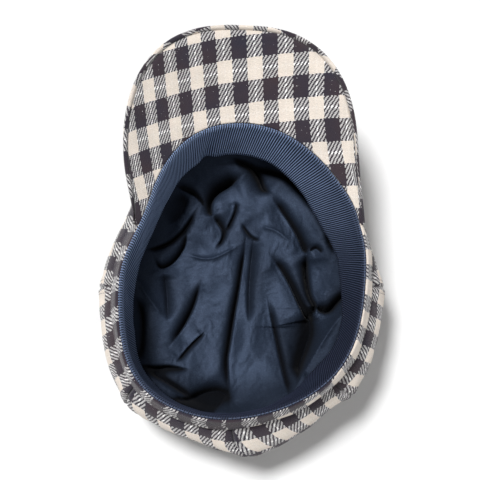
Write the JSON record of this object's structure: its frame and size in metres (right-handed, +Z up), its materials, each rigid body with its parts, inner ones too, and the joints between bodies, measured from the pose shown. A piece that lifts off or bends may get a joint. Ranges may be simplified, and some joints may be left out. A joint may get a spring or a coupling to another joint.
{
  "type": "newsboy cap",
  "caption": "Newsboy cap in checked wool with a short stiff visor, a gored crown, a ribbon sweatband and a satin lining, lying upside down on its crown.",
  "frame": {"origin": "on the surface the cap rests on, under the middle of its outline, with the cap upside down on its crown", "axes": "+Z up, out of the head opening; -Y towards the visor's tip, so +Y is the back of the head; X across the head. Turned half a turn about Y, the cap is the way up it is worn"},
  "size_m": [0.2024, 0.2904, 0.104],
  "materials": {
    "wool_check": "matt woven wool, dark and cream gingham check in a twill",
    "navy_ribbon": "ribbed grosgrain ribbon, low sheen",
    "navy_satin": "fine lining taffeta with a soft sheen",
    "buckram": "stiffened open weave",
    "visor_board": "plain moulded sheet",
    "button_steel": "plain pressed steel"
  },
  "bodies": {
    "root": {"crown_panel_1": "wool_check", "crown_panel_2": "wool_check", "crown_panel_3": "wool_check", "crown_panel_4": "wool_check", "crown_panel_5": "wool_check", "crown_panel_6": "wool_check", "crown_panel_7": "wool_check", "crown_panel_8": "wool_check", "headband": "wool_check", "headband_interfacing": "buckram", "sweatband": "navy_ribbon", "visor_under_cover": "wool_check", "visor_top_cover": "wool_check", "visor_board": "visor_board", "button_cover": "wool_check", "button_shell": "button_steel", "button_back_and_shank": "button_steel", "button_washer": "button_steel", "lining_panel_1": "navy_satin", "lining_panel_2": "navy_satin", "lining_panel_3": "navy_satin", "lining_panel_4": "navy_satin"}
  },
  "joints": []
}
